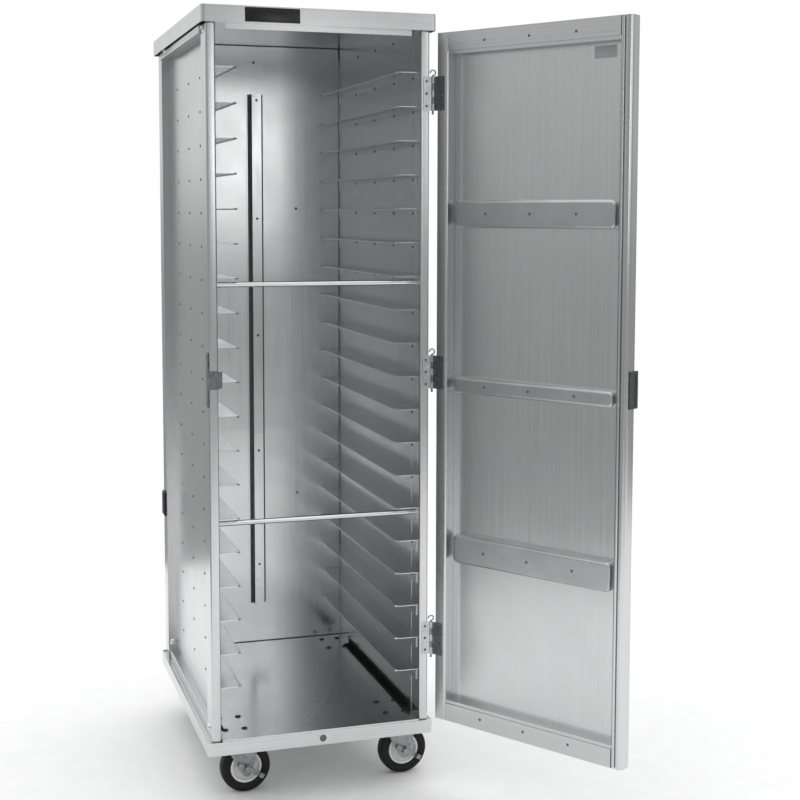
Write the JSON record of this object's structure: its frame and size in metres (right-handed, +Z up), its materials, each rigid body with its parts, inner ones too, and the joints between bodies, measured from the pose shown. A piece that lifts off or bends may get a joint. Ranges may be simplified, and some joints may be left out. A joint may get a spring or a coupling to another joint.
{
  "type": "enclosed pan transport cabinet",
  "caption": "Tall sheet aluminium cabinet on swivel casters with pan slides on both side walls and one framed door on lift-off pin hinges, standing open.",
  "frame": {"origin": "on the floor, under the middle of the box round the whole cabinet with its door open as in the picture", "axes": "+Z up; the doorway faces -Y; +X to the right of someone who looks into the doorway, on the hinge side"},
  "size_m": [0.8334, 1.1456, 1.7705],
  "materials": {
    "sheet_aluminium": "brushed mill sheet",
    "extruded_aluminium": "mill extrusion",
    "polished_steel": "stamped stainless steel",
    "zinc_steel": "zinc-plated pressed steel",
    "latch_grey": "grey painted casting",
    "hub_plastic": "moulded wheel centre",
    "tyre_rubber": "matt black rubber",
    "black_rubber": "matt black rubber",
    "nameplate_black": "bare black plate"
  },
  "bodies": {
    "cabinet": {"top_cap": "sheet_aluminium", "base_pan": "sheet_aluminium", "floor_panel": "sheet_aluminium", "right_wall_with_slides": "sheet_aluminium", "left_wall_with_slides": "sheet_aluminium", "back_panel": "sheet_aluminium", "post_front_left": "extruded_aluminium", "post_front_right": "extruded_aluminium", "post_rear_left": "extruded_aluminium", "post_rear_right": "extruded_aluminium", "pan_stop": "extruded_aluminium", "tie_rod_upper": "polished_steel", "tie_rod_lower": "polished_steel", "floor_seal_left": "black_rubber", "floor_seal_right": "black_rubber", "side_rail_foot_left": "extruded_aluminium", "side_rail_foot_right": "extruded_aluminium", "side_rail_head_left": "extruded_aluminium", "side_rail_head_right": "extruded_aluminium", "bumper_pad_left": "black_rubber", "bumper_pad_right": "black_rubber", "latch_strike": "zinc_steel", "hinge_leaf_post_top": "polished_steel", "hinge_leaf_post_middle": "polished_steel", "hinge_leaf_post_bottom": "polished_steel", "caster_plate_front_left": "zinc_steel", "caster_plate_front_right": "zinc_steel", "caster_plate_rear_left": "zinc_steel", "caster_plate_rear_right": "zinc_steel"},
    "door": {"door_skin": "sheet_aluminium", "door_hinge_stile": "extruded_aluminium", "door_latch_stile": "extruded_aluminium", "door_rail_top": "extruded_aluminium", "door_rail_bottom": "extruded_aluminium", "door_channel_upper": "extruded_aluminium", "door_channel_middle": "extruded_aluminium", "door_channel_lower": "extruded_aluminium", "latch_body": "latch_grey", "latch_lever_pin": "polished_steel", "hinge_leaf_door_top": "polished_steel", "hinge_leaf_door_middle": "polished_steel", "hinge_leaf_door_bottom": "polished_steel"},
    "latch_lever": {"latch_lever": "latch_grey"},
    "hinge_pin_top": {"hinge_pin_top": "polished_steel"},
    "hinge_pin_middle": {"hinge_pin_middle": "polished_steel"},
    "hinge_pin_bottom": {"hinge_pin_bottom": "polished_steel"},
    "swivel_front_left": {"caster_fork_front_left": "zinc_steel"},
    "wheel_front_left": {"caster_tyre_front_left": "tyre_rubber", "caster_hub_front_left": "hub_plastic"},
    "swivel_front_right": {"caster_fork_front_right": "zinc_steel"},
    "wheel_front_right": {"caster_tyre_front_right": "tyre_rubber", "caster_hub_front_right": "hub_plastic"},
    "swivel_rear_left": {"caster_fork_rear_left": "zinc_steel"},
    "wheel_rear_left": {"caster_tyre_rear_left": "tyre_rubber", "caster_hub_rear_left": "hub_plastic"},
    "swivel_rear_right": {"caster_fork_rear_right": "zinc_steel"},
    "wheel_rear_right": {"caster_tyre_rear_right": "tyre_rubber", "caster_hub_rear_right": "hub_plastic"},
    "brake_front_left": {"brake_lever_front_left": "zinc_steel"},
    "brake_front_right": {"brake_lever_front_right": "zinc_steel"}
  },
  "joints": [
    {"name": "door_swing", "type": "hinge", "parent": "cabinet", "child": "door", "pos_m": [0.10576, -0.14633, 0.9], "axis": [0, 0, 1], "range_deg": [-122.5, 77.5]},
    {"name": "latch_pull", "type": "hinge", "parent": "door", "child": "latch_lever", "pos_m": [0.40971, -0.55122, 0.96656], "axis": [0, 0, -1], "range_deg": [0, 35], "stiffness_Nm_per_rad": 0.25, "springref_deg": -17.19},
    {"name": "hinge_pin_top_lift", "type": "slide", "parent": "cabinet", "child": "hinge_pin_top", "axis": [0, 0, 1], "range_m": [0, 0.08]},
    {"name": "hinge_pin_middle_lift", "type": "slide", "parent": "cabinet", "child": "hinge_pin_middle", "axis": [0, 0, 1], "range_m": [0, 0.08]},
    {"name": "hinge_pin_bottom_lift", "type": "slide", "parent": "cabinet", "child": "hinge_pin_bottom", "axis": [0, 0, 1], "range_m": [0, 0.08]},
    {"name": "caster_front_left_swivel", "type": "hinge", "parent": "cabinet", "child": "swivel_front_left", "pos_m": [-0.34324, -0.04823, 0.13], "axis": [0, 0, 1], "continuous": true},
    {"name": "caster_front_left_roll", "type": "hinge", "parent": "swivel_front_left", "child": "wheel_front_left", "pos_m": [-0.31331, -0.04614, 0.058], "axis": [-0.0698, 0.9976, 0], "continuous": true},
    {"name": "brake_front_left_pedal", "type": "hinge", "parent": "swivel_front_left", "child": "brake_front_left", "pos_m": [-0.31331, -0.04614, 0.058], "axis": [0.0698, -0.9976, 0], "range_deg": [0, 25]},
    {"name": "caster_front_right_swivel", "type": "hinge", "parent": "cabinet", "child": "swivel_front_right", "pos_m": [0.03676, -0.04823, 0.13], "axis": [0, 0, 1], "continuous": true},
    {"name": "caster_front_right_roll", "type": "hinge", "parent": "swivel_front_right", "child": "wheel_front_right", "pos_m": [0.06669, -0.04614, 0.058], "axis": [-0.0698, 0.9976, 0], "continuous": true},
    {"name": "brake_front_right_pedal", "type": "hinge", "parent": "swivel_front_right", "child": "brake_front_right", "pos_m": [0.06669, -0.04614, 0.058], "axis": [0.0698, -0.9976, 0], "range_deg": [0, 25]},
    {"name": "caster_rear_left_swivel", "type": "hinge", "parent": "cabinet", "child": "swivel_rear_left", "pos_m": [-0.34324, 0.47777, 0.13], "axis": [0, 0, 1], "continuous": true},
    {"name": "caster_rear_left_roll", "type": "hinge", "parent": "swivel_rear_left", "child": "wheel_rear_left", "pos_m": [-0.31331, 0.47986, 0.058], "axis": [-0.0698, 0.9976, 0], "continuous": true},
    {"name": "caster_rear_right_swivel", "type": "hinge", "parent": "cabinet", "child": "swivel_rear_right", "pos_m": [0.03676, 0.47777, 0.13], "axis": [0, 0, 1], "continuous": true},
    {"name": "caster_rear_right_roll", "type": "hinge", "parent": "swivel_rear_right", "child": "wheel_rear_right", "pos_m": [0.06669, 0.47986, 0.058], "axis": [-0.0698, 0.9976, 0], "continuous": true}
  ]
}
